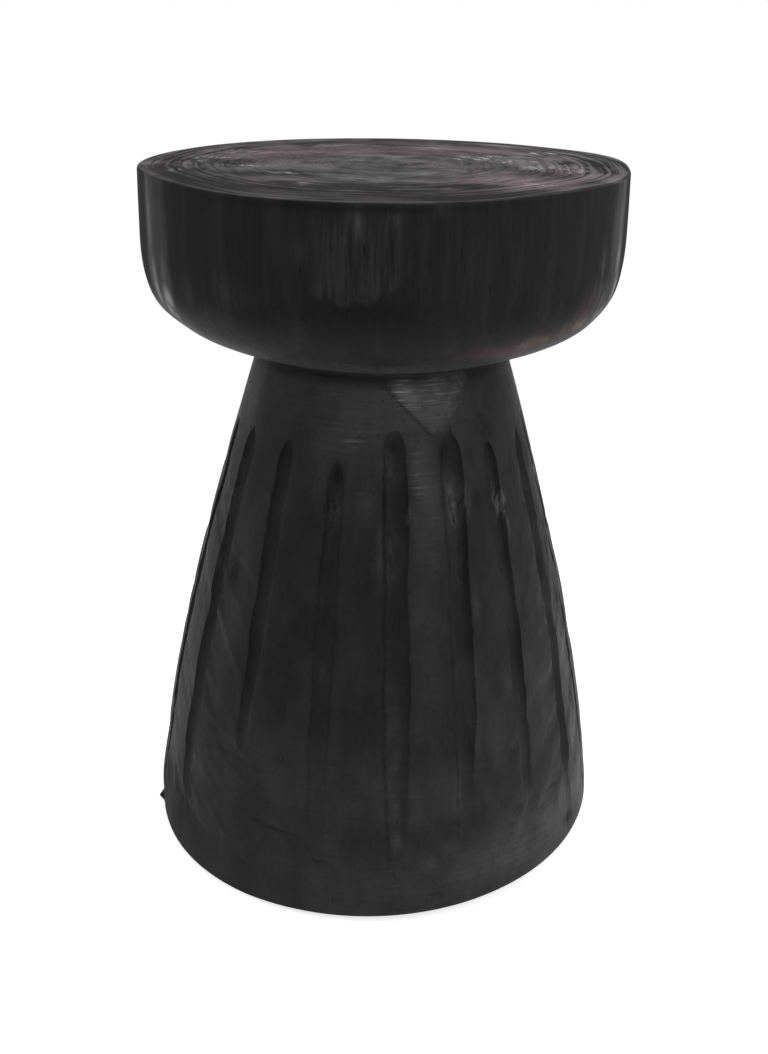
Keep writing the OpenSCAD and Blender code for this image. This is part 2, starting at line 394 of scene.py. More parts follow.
def gouge_strokes():
    """Broad shallow gouge strokes: angle, height, half length, half width, depth and lean."""
    draw = random.Random(5)
    strokes = [(math.radians(seen[0]), *seen[1:5], math.radians(seen[5])) for seen in SEEN_STROKES]
    for _ in range(STROKE_COUNT):
        angle = math.radians(draw.uniform(-180, 180))
        height = STROKE_LOWEST + STROKE_SPAN * draw.random() ** 1.4
        lean = math.copysign(math.radians(draw.uniform(*STROKE_LEANS)), math.sin(angle))
        # The strokes are shallower at the front and the back than at the sides
        calm = 0.45 + 0.55 * abs(math.sin(angle))
        depth = calm * draw.uniform(*STROKE_DEPTHS)
        half_length = draw.uniform(*STROKE_HALF_LENGTHS)
        half_width = draw.uniform(*STROKE_HALF_WIDTHS)
        strokes.append((angle, height, half_length, half_width, depth, lean))
    return strokes


def pedestal_outline():
    """Heights above the underside and radii down the pedestal's side, row by row from the neck."""
    high = (NECK_R, PEDESTAL_H - JOINT_EASE)
    low = (FOOT_R, FOOT_ROUND)
    neck_pull = (high[0] + NECK_PULL * math.sin(NECK_SLOPE), high[1] - NECK_PULL * math.cos(NECK_SLOPE))
    foot_pull = (low[0] - FOOT_PULL * math.sin(FOOT_SLOPE), low[1] + FOOT_PULL * math.cos(FOOT_SLOPE))
    down = curve(high, neck_pull, foot_pull, low, np.linspace(0, 1, 400))
    heights = np.concatenate([
        np.linspace(high[1], high[1] - JOINT_ZONE, JOINT_ROWS)[:-1],
        np.linspace(high[1] - JOINT_ZONE, low[1], SIDE_ROWS - JOINT_ROWS + 1),
    ])
    return heights, np.interp(heights, down[::-1, 1], down[::-1, 0])


def flute_line(number, flute, heights, radii):
    """A flute's centre angle, half width in mm, depth in mm and the share of its darkening, painted shade
    with some staining, at each height.
    """
    top, foot = PEDESTAL_H - flute.top_gap, flute.foot_gap
    share = np.clip((top - heights) / (top - foot), 0, 1)
    spot = np.stack([heights, 0 * heights + 37.0 * number, 0 * heights], -1)
    sway = 0.9 * wobble(spot, 38, 1) + 0.35 * wobble(spot, 11, 14)
    centre = np.radians(flute.neck_angle + (flute.foot_angle - flute.neck_angle) * share) + sway / radii
    rise = np.clip((top - heights) / FLUTE_TOP_LENGTH, 0, 1)
    # Every other flute starts with a point, and the rest with a round end
    pointed = 0.5 + 0.45 * (number % 2)
    rise = (1 - (1 - rise) ** 2) ** pointed
    fade = smooth((heights - foot) / FLUTE_FADE_LENGTH)
    uneven = 1 + 0.2 * wobble(spot, 31, 2) + 0.06 * wobble(spot, 9, 15)
    width = FLUTE_HALF_WIDTH * flute.width_share * uneven
    width = width * (0.92 + 0.16 * share) * rise * (0.6 + 0.4 * fade)
    depth = FLUTE_DEPTH * rise**0.7 * fade * (1 + 0.2 * wobble(spot, 17, 3))
    depth[(heights > top) | (heights < foot)] = 0
    shade_and_stain = rise * smooth((heights - foot) / 22) * (heights < top)
    return centre, width, np.minimum(depth, 0.95 * width), shade_and_stain


def hollow_section(flute, t):
    """Share of the depth across a flute, from its left edge at t = -1 to its right edge at t = 1."""
    return 1 - np.abs(t) ** np.where(t > 0, flute.right_wall, FLUTE_WALL)


def edge_lines(flute, t):
    """Where a flute's two edges are darkened: painted shade along its walls, with some gathered staining."""
    return flute.left_line * smooth((-t - 0.7) / 0.28) + flute.right_line * smooth((t - 0.7) / 0.28)


def pedestal_grid(heights, radii):
    """The side's grid, whose columns follow the flutes: angle, flute depth, and the darkening of the edges
    and of the floor, painted shade with some staining.
    """
    across = np.sin(np.pi / 2 * np.linspace(-1, 1, FLUTE_COLUMNS + 1))
    between = np.linspace(0, 1, LAND_COLUMNS + 1)[1:-1]
    plain = np.zeros((len(heights), len(between)))
    cut = flutes()
    lines = [flute_line(n, flute, heights, radii) for n, flute in enumerate(cut)]
    halves = [np.maximum(width, FLUTE_NARROWEST) / radii for _, width, _, _ in lines]
    angles, depths, edges, floors = [], [], [], []
    for n, (centre, _, depth, shade_and_stain) in enumerate(lines):
        after = (n + 1) % FLUTE_COUNT
        whole_turn = 2 * math.pi if after == 0 else 0
        section = hollow_section(cut[n], across)
        angles.append(centre[:, None] + halves[n][:, None] * across)
        depths.append(depth[:, None] * section)
        edges.append(shade_and_stain[:, None] * edge_lines(cut[n], across))
        floors.append(shade_and_stain[:, None] * cut[n].floor_shade_and_stain * section)
        left = (centre + halves[n])[:, None]
        right = (lines[after][0] + whole_turn - halves[after])[:, None]
        angles.append(left + (right - left) * between)
        for unmarked in (depths, edges, floors):
            unmarked.append(plain)
    return [np.concatenate(columns, 1) for columns in (angles, depths, edges, floors)]


def stroke_depth(grid):
    """How deep the deepest gouge stroke cuts at each point."""
    angle, height, radius = grid
    deepest = np.zeros(angle.shape)
    for at, up, half_length, half_width, depth, lean in gouge_strokes():
        side = turned(angle, at) * radius
        rise = height - up
        along = rise * math.cos(lean) + side * math.sin(lean)
        over = side * math.cos(lean) - rise * math.sin(lean)
        inside = 1 - (along / half_length) ** 2 - (over / half_width) ** 2
        deepest = np.maximum(deepest, depth * np.clip(inside * 1.6, 0, 1))
    # The strokes fade out towards the foot and the neck
    return deepest * smooth((height - 16) / 30) * smooth((PEDESTAL_H - 30 - height) / 40)


def neck_wedge(grid):
    """A pale wedge under the joint, where the wood is scraped. The material makes its edges ragged."""
    degrees = np.degrees(grid.angle)
    rise = (grid.height - WEDGE_LOW) / WEDGE_H
    left = 21.5 - 19.5 * rise
    right = 25.5 + 15.0 * rise
    faded = smooth((right - degrees) / 13 + 0.5) * (1 - 0.15 * smooth((degrees - 18) / 14))
    return smooth((degrees - left) / 5 + 0.5) * faded * smooth((rise + 0.3) / 0.8)


def knife_lines(grid):
    """How strongly each point lies in a knife line, from 0 to 1."""
    angle, height, radius = grid
    strongest = np.zeros(angle.shape)
    for from_angle, from_up, to_angle, to_up, half_width, strength in KNIFE_LINES:
        across = turned(angle, math.radians(from_angle)) * radius
        up = height - from_up
        run = math.radians(to_angle - from_angle) * radius
        rise = to_up - from_up
        share = np.clip((across * run + up * rise) / (run**2 + rise**2), 0, 1)
        off = np.hypot(across - share * run, up - share * rise)
        strongest = np.maximum(strongest, strength * smooth((half_width - off) / 0.9))
    return strongest


def pedestal_relief(grid, flute, knife):
    """How far the side stands out from its turned outline."""
    angle, height, radius = grid
    base = around_axis(radius, angle, height)
    uneven = 0.55 * wobble(base, 85, 4) + 0.25 * wobble(base, 26, 5)
    uneven = uneven * smooth((PEDESTAL_H - height) / 25) * smooth(height / 12)
    full = LAND_PROUD * smooth((PEDESTAL_H - 20 - height) / 60) * smooth(height / 20)
    chips = 0.3 * wobble(base, (5, 5, 15), 6) * flute / FLUTE_DEPTH
    groove = JOINT_GROOVE * smooth((height - (PEDESTAL_H - 8)) / 5)
    out = uneven + full + summed_spots(PEDESTAL_BULGES, grid)
    out = out - groove - KNIFE_DEPTH * knife
    return out - np.maximum(flute + chips, stroke_depth(grid))


def pedestal_marks(grid, edge_shade_and_stain, floor_shade_and_stain, knife):
    """Where the side's colour and gloss change, apart from its grain."""
    wedge = neck_wedge(grid)
    # The joint's line, painted shade under the head's belly with some staining in the joint, is fainter over
    # the wedge's right half
    faint = 0.5 * wedge * smooth((np.degrees(grid.angle) - 16) / 10)
    return {
        "cut": np.maximum(edge_shade_and_stain, knife),
        "black": strongest_spot(BLACK_SPOTS, grid),
        "floor": np.maximum(floor_shade_and_stain, strongest_spot(STAINED_SPOTS, grid)),
        "rub_and_light": strongest_spot(RUBBED_AND_LIT_SPOTS, grid),
        "painted_gleam": strongest_spot(PAINTED_GLEAMS, grid),
        "wedge": wedge,
        "bare": strongest_spot(SCRAPED_SPOTS, grid),
        "joint": smooth((grid.height - (PEDESTAL_H - 6.5)) / 5) * (1 - faint),
        "dull": strongest_spot(DULL_SPOTS, grid),
    }


def worn_edge(angle, height):
    """How far the foot's edge is worn away: it is rounder at the right than at the left."""
    edge = 1.6 + 1.4 * (1 + np.sin(angle))
    return np.where(height < edge, edge - np.sqrt(np.maximum(edge**2 - (edge - height) ** 2, 0)), 0)


def pedestal(material):
    """The fluted pedestal, with its hand-cut flutes, gouge strokes and worn foot."""
    heights, radii = pedestal_outline()
    angle, flute, edge_shade_and_stain, floor_shade_and_stain = pedestal_grid(heights, radii)
    grid = Grid(*np.broadcast_arrays(angle, heights[:, None], radii[:, None]))
    angle, height, radius = grid
    slope = np.arctan2(np.gradient(radii), -np.gradient(heights))[:, None]
    knife = knife_lines(grid)
    out = pedestal_relief(grid, flute, knife)
    worn = worn_edge(angle, height)
    # The foot isn't cut square to the axis: its rim hangs lower at the left
    rim_shift = np.clip(FOOT_SKEW * np.sin(angle), FOOT_LOWEST, FOOT_SKEW)
    lift = out * np.sin(slope) + rim_shift * smooth((40 - height) / 38)
    side = around_axis(radius + out * np.cos(slope) - worn, angle, height + lift + UNDERSIDE_Z)
    top_face = face_rings(angle[0], (
        (BORE_R, BORE_LOW_Z), (BORE_R, JOINT_Z), (NECK_R - JOINT_EASE, JOINT_Z),
    ))
    foot_rim = radius[-1] - worn[-1]
    low_face = face_rings(angle[-1], (
        (foot_rim - 1.2, UNDERSIDE_Z + 0.6 + rim_shift[-1]),
        (foot_rim - 4.0, UNDERSIDE_Z + 0.9 * rim_shift[-1]),
        (FOOT_R - FOOT_FACE, UNDERSIDE_Z),
        (HOLLOW_R, UNDERSIDE_Z),
        (HOLLOW_R - HOLLOW_DEPTH, UNDERSIDE_Z + HOLLOW_DEPTH),
    ))
    marks = pedestal_marks(grid, edge_shade_and_stain, floor_shade_and_stain, knife)
    piece = lathe_mesh(
        "pedestal_carved", np.stack(top_face + list(side) + low_face),
        low_pole=(0, 0, UNDERSIDE_Z + HOLLOW_DEPTH), high_pole=(0, 0, BORE_LOW_Z),
        marks=padded(marks, len(top_face), len(low_face)),
    )
    stand_for(piece, "pedestal", material)


# The seat head

HEAD_COLUMNS = 480
BOWL_ROWS = 64
UPRIGHT_ROWS = 26
RIM_ROWS = 7
FACET_COUNT = 84
FACET_UNEVEN = 0.16
FACET_DRIFT = 0.012
PATCH_DEPTH = 0.25
TOP_SKEW = 0.9
TOP_SUNK = 0.4
BACK_FLAT = 1.5

# How far the side stands out at heights above the joint
FULL_HEIGHTS = [0, 6, 14, 24, 40, 70, 95, 111]
FULL_OUT = [0.0, 0.5, 0.6, 0.5, 0.5, 0.4, 0.3, 0.0]

# Where it is hollow: angle, height, half width, half height and how far
HEAD_HOLLOWS = [(-70, 24.5, 50, 5.5, -1.1), (75, 30, 50, 8, -0.8)]

# Where the head is out of round and where its rim lifts: angle, half width in degrees and how far
OVAL = [(113, 15, 3.0), (82, 12, -1.2), (-76, 12, -0.7), (-108, 14, 0.9)]
RIM_LIFT = [(-64, 24, 2.0), (46, 22, 1.4), (98, 22, 1.6)]

# Patches where the black is worn through to brown: angle, height, half width, half height and strength
WORN_SPOTS = [
    (49, 35, 9, 3.5, 1), (39.5, 31.5, 10, 3, 1), (-130, 33, 18, 4, 1), (-171, 25, 10, 3, 1),
    (128, 36, 12, 4, 1),
]

# Facets and edges of the side that are paler: painted highlights where they catch the light, most near the
# outline, with grey rubbing: angle, height, half width, half height and strength
GLINTING_AND_RUBBED_FACETS = [
    (-63.2, 88, 3, 20, 0.38), (-61.9, 57, 3, 8, 0.75), (-61.7, 47, 3.8, 8, 1.2), (-56.4, 44.5, 5, 7, 1.6),
    (-57, 37, 7, 6, 1.2), (-56.4, 62, 3.5, 10, 0.3), (-52.5, 28, 6, 5, 0.4), (-66, 33, 5, 5, 0.7),
    (65.4, 90, 2.6, 22, 0.5), (65.8, 70, 3, 12, 0.75), (61.5, 82, 5, 20, 0.15), (56, 50, 12, 9, 0.2),
    (68, 48, 5, 10, 0.9), (61, 36, 8, 6, 0.6), (52.8, 35, 6, 4, 0.4), (130, 70, 5, 30, 0.2),
    (-140, 60, 6, 24, 0.2), (0, 14, 90, 12, 0.14), (-40, 44, 16, 6, 0.05), (-5.7, 101, 5, 6, 0.17),
    (2, 103, 5, 5, 0.08), (-8, 94, 4, 6, 0.05), (11.2, 108, 6, 3, 0.08), (-17, 85, 6, 6, 0.05),
    (56, 67, 4, 10, 0.13), (60, 47, 4, 8, 0.42), (-53.5, 55, 4, 6, 0.14), (-47, 53, 8, 9, 0.07),
    (-33, 58, 14, 8, 0.05), (34.5, 28.5, 6, 4, 0.45),
]

# Places of the side that are darker than around: the same numbers
DARK_SPOTS = [
    (41, 37, 11, 6, 0.7), (0.5, 22, 11, 4, 0.7), (-57, 105, 14, 8, 0.8), (-47, 29, 8, 5, 0.8),
    (-18.5, 108.5, 9, 2.5, 0.8),
]

# Places of the top that are paler or, below zero, darker: right of the middle, behind it, half width,
# half depth and strength
TOP_SPOTS = [
    (-32, -19, 30, 22, -0.08), (-105, -5, 30, 40, -0.2), (-70, -50, 30, 20, -0.12), (-41, -84, 5, 6, 0.2),
    (61, 38, 18, 12, 0.2), (80, 5, 24, 18, 0.15), (95, -11, 12, 22, 0.15), (32, 88, 16, 10, 0.1),
    (75, -90, 30, 24, 0.3), (-55, 52, 45, 32, 0.2), (112, 8, 4, 6, -0.7), (110, 34, 14, 24, 0.3),
    (137, -8, 13, 34, -0.28), (-88, 40, 30, 20, 0.25), (20, -131, 46, 17, -0.35), (-69, -98, 44, 22, -0.34),
    (0, -106, 46, 20, -0.36), (-110, -74, 24, 20, -0.35), (-105, 29, 16, 12, 0.26), (22, 49, 38, 10, -0.3),
    (101, 59, 14, 10, 0.15), (-50, -39, 18, 10, -0.4), (49, -26, 12, 10, 0.14), (111, -18, 8, 10, 0.14),
    (45, -92, 19, 8, -1.3), (86, -88, 9, 9, 0.16), (119, -82, 8, 10, -0.4), (-88, -107, 9, 6, -0.25),
    (-12, -99, 18, 7, -0.12), (-133, -49, 7, 9, -0.6), (-113, -48, 6, 8, -0.35), (123, -17, 7, 9, -0.25),
]

# Bright flecks of the top, where it is rubbed to the wood, the same way
TOP_FLECKS = [
    (-83, -17, 16, 3.5, 1), (-56, -44, 10, 3.5, 1), (-41, -84, 6, 6, 0.9), (61, 38, 15, 9, 1.5),
    (52, 30, 10, 6, 1.3), (76, 15, 15, 7, 1.2), (95, -11, 9, 13, 0.8), (32, 88, 14, 9, 0.7),
    (100, 62, 14, 9, 0.7), (-95, 60, 20, 12, 0.5), (40, -40, 22, 8, 0.5), (-10, -62, 18, 7, 0.5),
    (70, -74, 18, 14, 0.5), (-118, 10, 8, 30, 0.5), (118, -30, 9, 20, 0.6), (0, 40, 22, 8, 0.4),
    (-30, 100, 24, 9, 0.5), (-106, 29, 15, 8, 0.85), (101, 59, 10, 7, 0.6), (49, -26, 11, 8, 0.4),
    (86, -88, 9, 7, 0.7), (111, -18, 7, 8, 0.4), (-122, -48, 5, 7, 0.7),
]

# Its mauve places, the same way
MAUVE_SPOTS = [
    (-90, 36, 36, 30, 1.3), (-60, 75, 45, 36, 1), (0, 85, 50, 40, 1), (60, 75, 45, 34, 1),
    (86, -74, 36, 44, 1.1), (104, -20, 22, 30, 0.5), (42, -110, 14, 50, 1), (-60, -97, 22, 26, 0.8),
    (-134, -38, 14, 34, 1), (10, -130, 20, 12, 1.2),
]

# Mauve places of the side: angle, height, half width, half height and strength
SIDE_MAUVE = [(52, 42, 10, 6, 1), (29, 27, 20, 5, 1)]


def head_outline():
    """Radius and height above the joint along the head, from the middle of the top to the joint."""
    # The rings of points lie closer together towards the rim
    inner = np.linspace(2, 58, 15)
    middle = np.linspace(60, 104, 24)
    outer = np.linspace(105, SEAT_R - RIM_ROUND, 42)
    flat = np.concatenate([inner, middle, outer])
    top = np.stack([flat, np.full(len(flat), HEAD_H)], -1)
    turn = np.linspace(0, math.pi / 2, RIM_ROWS + 1)[1:]
    rim_r = SEAT_R - RIM_ROUND * (1 - np.sin(turn))
    rim_h = HEAD_H - RIM_ROUND * (1 - np.cos(turn))
    upright_h = np.linspace(HEAD_H - RIM_ROUND, BOWL_H, UPRIGHT_ROWS + 1)[1:]
    bowl = curve(
        (SEAT_R, BOWL_H), (SEAT_R, BOWL_H - SIDE_PULL),
        (NECK_R + BOWL_PULL * math.cos(BOWL_ANGLE), JOINT_EASE + BOWL_PULL * math.sin(BOWL_ANGLE)),
        (NECK_R, JOINT_EASE),
        np.linspace(0, 1, BOWL_ROWS + 1)[1:],
    )
    upright = np.stack([np.full(UPRIGHT_ROWS, SEAT_R), upright_h], -1)
    return np.concatenate([top, np.stack([rim_r, rim_h], -1), upright, bowl])


def facets(angles, heights, radii):
    """How far a hand-planed side stands in from the circle: flat upright facets, no two alike."""
    draw = random.Random(23)
    steps = np.array([draw.uniform(0.55, 1.45) for _ in range(FACET_COUNT)])
    edges = np.cumsum(steps) / steps.sum() * 2 * math.pi - math.pi
    out = np.zeros((len(heights), len(angles)))
    for row, (up, radius) in enumerate(zip(heights, radii)):
        drift = [FACET_DRIFT * noise.noise(Vector((9.1 * n, up / 60, 3.0))) for n in range(FACET_COUNT)]
        offset = [FACET_UNEVEN * noise.noise(Vector((5.3 * n, up / 48, 8.0))) for n in range(FACET_COUNT)]
        at = edges + drift
        ends = np.concatenate([at[-1:] - 2 * math.pi, at, at[:1] + 2 * math.pi])
        levels = np.array(offset[-1:] + offset + offset[:1])
        slot = np.clip(np.searchsorted(ends, angles) - 1, 0, len(ends) - 2)
        width = ends[slot + 1] - ends[slot]
        t = (angles - ends[slot]) / width
        chord = radius * (width / 2) ** 2 / 2 * 4 * t * (1 - t)
        out[row] = levels[slot] * (1 - t) + levels[slot + 1] * t - chord
    return out


def rubbed_patch(grid):
    """The rubbed patch at the head's front: 1 inside its scalloped edge."""
    degrees = np.degrees(grid.angle)
    feather = 2.0 * np.array([noise.noise(Vector((d * 0.9, 4.0, 0))) for d in degrees[0]])
    scallops = 3.0 * np.abs(np.sin(np.radians(degrees) * 34))
    low_edge = 59 + 0.11 * (degrees + 7) ** 2 + feather - scallops
    across = smooth((degrees + 16) / 2.5) * smooth((7.0 - degrees) / 5)
    return across * smooth((grid.height - low_edge) / 2.5) * smooth((112 - grid.height) / 20)


def top_spots(spots, east, north):
    """The sum of some soft spots on the top."""
    return sum(
        strength * np.exp(-((east - right) / wide) ** 2 - ((north - behind) / deep) ** 2)
        for right, behind, wide, deep, strength in spots
    )


def head_marks(grid, patch):
    """Where the head's colour and gloss change, apart from its grain."""
    angle, height, radius = grid
    degrees = np.degrees(angle)
    east, north = radius * np.sin(angle), -radius * np.cos(angle)
    top = smooth((height - (HEAD_H - 0.8)) / 0.8)
    # Painted highlights on facets that catch the light, with some grey rubbing
    facet_glint_and_rub = strongest_spot(GLINTING_AND_RUBBED_FACETS, grid)
    # Two upright strips, one near each end of what the photograph shows, are glossier than the rest
    left_strip = smooth((degrees + 66.5) / 1.5) * smooth((-53.2 - degrees) / 0.8)
    right_strip = smooth((degrees - 58) / 6) * smooth((69.5 - degrees) / 1.5)
    matt = 1 - left_strip - right_strip
    edges = smooth((np.abs(degrees) - 67) / 3) * smooth((100 - np.abs(degrees)) / 20)
    # A darker band under the rubbed patch, and painted shade in a line just under the rim
    under_patch = 0.5 * blot(grid, -3, 55, 34, 4.5) * (1 - patch)
    under_rim = 0.6 * np.exp(-((height - 107.5) / 1.4) ** 2 - ((degrees + 8) / 36) ** 2)
    dark = np.maximum(under_patch, np.maximum(under_rim, strongest_spot(DARK_SPOTS, grid)))
    front_left = smooth((degrees + 88) / 16) * smooth((46 - degrees) / 22)
    # The rim's pale line: a painted highlight with some wear, strongest at the front
    rim = np.exp(-((radius - (SEAT_R - 1.6)) / 1.3) ** 2) * smooth((height - (HEAD_H - 0.9)) / 0.6)
    return {
        "top": top,
        "patch": patch,
        "worn": strongest_spot(WORN_SPOTS, grid),
        "facet_glint_and_rub": facet_glint_and_rub * (1 - top),
        "matt": (matt + 0.5 * edges) * smooth((height - 36) / 16) * (1 - top),
        "dark": dark * (1 - top),
        # Painted shade across the top's front left
        "shade": top * front_left * smooth((radius - 112) / 20),
        "turning": smooth((radius - 20) / 70),
        "ringed": top * smooth((radius - 92) / 26) * (0.75 + 0.25 * east / SEAT_R),
        "spots": top * top_spots(TOP_SPOTS, east, north),
        "flecks": top * top_spots(TOP_FLECKS, east, north),
        "mauve": top * np.minimum(top_spots(MAUVE_SPOTS, east, north), 1),
        "mauve_side": strongest_spot(SIDE_MAUVE, grid),
        "rim": rim * (0.3 + 0.7 * smooth((degrees + 82) / 12) * smooth((22 - degrees) / 20)),
    }


def side_relief(grid, base, patch):
    """How far the head's side stands out from its turned outline."""
    angle, height, radius = grid
    planed = facets(angle[0], height[:, 0], radius[:, 0]) * smooth((height - 22) / 26)
    lopsided = -0.5 * np.sin(angle) * smooth(height / 20) * smooth((80 - height) / 40)
    lopsided = lopsided + summed_spots(HEAD_HOLLOWS, grid)
    uneven = 0.45 * wobble(base, 70, 7) + 0.08 * wobble(base, (6, 6, 40), 12)
    return planed + uneven - PATCH_DEPTH * patch + np.interp(height, FULL_HEIGHTS, FULL_OUT) + lopsided


def top_relief(base, radius):
    """How far the head's top stands up: turned ridges towards its rim, on slightly uneven wood."""
    outward = np.stack([radius, 0 * radius, 0 * radius], -1)
    ridges = 0.14 * wobble(outward + 3 * wobble(base, 70, 8)[..., None], 2.6, 13)
    return ridges * smooth((radius - 70) / 50) + 0.35 * wobble(base, 60, 9)


def dry_out(surface, grid):
    """Moves the head's points as its wood has dried: out of round, not quite level, and with a lifted rim."""
    upper = smooth(grid.height / HEAD_H)
    degrees = np.degrees(grid.angle)
    oval = bulges(OVAL, degrees) - BACK_FLAT * smooth((np.abs(degrees) - 130) / 50)
    surface[..., :2] *= 1 + (upper**4 * oval / SEAT_R)[..., None]
    surface[..., 2] += upper * (TOP_SKEW * surface[..., 0] / SEAT_R - TOP_SUNK)
    surface[..., 2] += upper**4 * bulges(RIM_LIFT, degrees) * smooth((grid.radius - 40) / 110)


def seat_head(material):
    """The turned seat head, with its ringed top and hand-planed side."""
    outline = head_outline()
    angles = np.linspace(-math.pi, math.pi, HEAD_COLUMNS + 1)[:-1]
    grid = Grid(*np.broadcast_arrays(angles, outline[:, 1:2], outline[:, 0:1]))
    angle, height, radius = grid
    along = np.gradient(outline, axis=0)
    along /= np.linalg.norm(along, axis=1)[:, None]
    normal_r, normal_h = -along[:, 1:2], along[:, 0:1]
    base = around_axis(radius, angle, height)
    on_top = smooth((height - (HEAD_H - 2)) / 2)
    patch = rubbed_patch(grid)
    side = side_relief(grid, base, patch) * smooth(height / 10)
    out = (1 - on_top) * side + on_top * top_relief(base, radius)
    surface = around_axis(radius + out * normal_r, angle, height + out * normal_h + JOINT_Z)
    dry_out(surface, grid)
    low_face = face_rings(angles, (
        (NECK_R - JOINT_EASE, JOINT_Z), (BORE_R, JOINT_Z), (BORE_R, BORE_TOP_Z),
    ))
    piece = lathe_mesh(
        "seat_head_turned", np.concatenate([surface, np.stack(low_face)]),
        low_pole=(0, 0, BORE_TOP_Z), high_pole=(0, 0, SEAT_Z),
        marks=padded(head_marks(grid, patch), 0, len(low_face)),
    )
    stand_for(piece, "seat_head", material)


# The felt pads

PAD_COLUMNS = 56


def felt_pad(number, material):
    """A punched felt disc: a soft edge, and a face that is a little uneven."""
    node = f"glide_felt_{number}"
    low, high = box_mm(node)
    middle = (low + high) / 2
    pad_r = (high[0] - low[0]) / 2
    thick = high[2] - low[2]
    glued_face = [(pad_r * share, thick) for share in (0.2, 0.45, 0.7, 0.88, 0.97)]
    edge = [(0, thick - 0.25), (0, thick * 0.55), (0.1, 0.55), (0.35, 0.25), (0.8, 0.06)]
    soft_edge = [(pad_r - inward, up) for inward, up in edge]
    worn_face = [(pad_r * share, 0.0) for share in (0.88, 0.75, 0.6, 0.45, 0.3, 0.15)]
    outline = np.array(glued_face + soft_edge + worn_face)
    angles = np.linspace(-math.pi, math.pi, PAD_COLUMNS + 1)[None, :-1]
    points = around_axis(outline[:, 0:1], angles, outline[:, 1:2])
    fuzz = 0.05 * wobble(points, 1.3, 20 + number)
    points[..., 2] += np.where(points[..., 2] < thick / 2, np.abs(fuzz), 0)
    shrink = 1 - np.abs(fuzz) / pad_r
    points[..., :2] = points[..., :2] * shrink[..., None]
    points += (middle[0], middle[1], low[2])
    piece = lathe_mesh(
        f"felt_pad_{number}", points,
        low_pole=(middle[0], middle[1], low[2]), high_pole=(middle[0], middle[1], high[2]), marks={},
    )
    stand_for(piece, node, material)


# Materials

class Nodes:
    """Adds nodes to a tree, one call each."""

    def __init__(self, tree):
        self.tree = tree

    def add(self, kind, inputs=None, **settings):
        """A node with settings and inputs. An input is a value or another node's socket."""
        made = self.tree.nodes.new(kind)
        for key, value in settings.items():
            setattr(made, key, value)
        for key, value in (inputs or {}).items():
            self.put(made.inputs[key], value)
        return made

    def put(self, socket, value):
        """Links a socket, or sets its value."""
        if isinstance(value, bpy.types.NodeSocket):
            self.tree.links.new(value, socket)
        else:
            socket.default_value = value

    def place(self, across, along):
        """The object's own space in features per metre, across the trunk and along it."""
        here = self.add("ShaderNodeTexCoord").outputs["Object"]
        scale = (across, across, along)
        return self.add("ShaderNodeMapping", {"Vector": here, "Scale": scale}).outputs["Vector"]

    def ring_place(self, around, outward):
        """A space for rings about the trunk's axis, in features per metre around and outward."""
        here = self.add("ShaderNodeTexCoord").outputs["Object"]
        apart = self.add("ShaderNodeSeparateXYZ", {"Vector": here})
        flat = self.add("ShaderNodeCombineXYZ", {"X": apart.outputs["X"], "Y": apart.outputs["Y"]})
        far = self.add("ShaderNodeVectorMath", {"Vector": flat.outputs["Vector"]}, operation="LENGTH")
        bent = self.times(self.noise(self.place(9, 9), detail=2), 0.02)
        far = self.plus(far.outputs["Value"], bent)
        return self.add("ShaderNodeCombineXYZ", {
            "X": self.times(apart.outputs["X"], around),
            "Y": self.times(apart.outputs["Y"], around),
            "Z": self.times(far, outward),
        }).outputs["Vector"]

    def noise(self, vector, detail=3.0, rough=0.5, distortion=0.0):
        """Noise from 0 to 1."""
        return self.add("ShaderNodeTexNoise", {
            "Vector": vector, "Scale": 1.0, "Detail": detail, "Roughness": rough, "Distortion": distortion,
        }).outputs["Fac"]

    def spread(self, value, low, high, to_low=0.0, to_high=1.0):
        """Maps a value from one range to another, held at its ends."""
        return self.add("ShaderNodeMapRange", {
            "Value": value, "From Min": low, "From Max": high, "To Min": to_low, "To Max": to_high,
        }).outputs["Result"]

    def mix(self, share, a, b, kind="RGBA"):
        """A colour between a and b or, with the kind VALUE, a value between them."""
        made = self.add("ShaderNodeMix", data_type="FLOAT" if kind == "VALUE" else kind)
        from_a, from_b = [socket for socket in made.inputs if socket.type == kind][-2:]
        self.put(made.inputs[0], share)
        self.put(from_a, a)
        self.put(from_b, b)
        return next(socket for socket in made.outputs if socket.type == kind)

    def layers(self, colour, *laid):
        """A colour with others laid over it in turn, each by its share."""
        for share, over in laid:
            colour = self.mix(share, colour, over)
        return colour

    def math(self, what, a, b):
        """One calculation on two values."""
        made = self.add("ShaderNodeMath", operation=what)
        self.put(made.inputs[0], a)
        self.put(made.inputs[1], b)
        return made.outputs["Value"]

    def times(self, a, b):
        """The product of two values."""
        return self.math("MULTIPLY", a, b)

    def plus(self, a, b):
        """The sum of two values."""
        return self.math("ADD", a, b)

    def mark(self, name, share=None):
        """A number that the mesh carries at each point, times a share if one is given."""
        value = self.add("ShaderNodeAttribute", attribute_name=name).outputs["Fac"]
        return value if share is None else self.times(value, share)

    def bump(self, height, distance, after=None):
        """A bumped normal, from a height that spans a distance in metres."""
        inputs = {"Height": height, "Distance": distance, "Strength": 1.0}
        if after is not None:
            inputs["Normal"] = after
        return self.add("ShaderNodeBump", inputs).outputs["Normal"]


class Shader(Nodes):
    """Builds a material's nodes, around its surface node."""

    def __init__(self, name):
        self.material = bpy.data.materials.new(name)
        self.material.use_nodes = True
        super().__init__(self.material.node_tree)
        self.surface = self.tree.nodes["Principled BSDF"]

    def finish(self, **sockets):
        """Sets the surface's sockets, given by their names with underscores for spaces."""
        for key, value in sockets.items():
            self.put(self.surface.inputs[key.replace("_", " ")], value)
        return self.material


def grey(level):
    """A linear grey."""
    return (level, level, level, 1.0)


SHEEN_LEVEL = 0.09
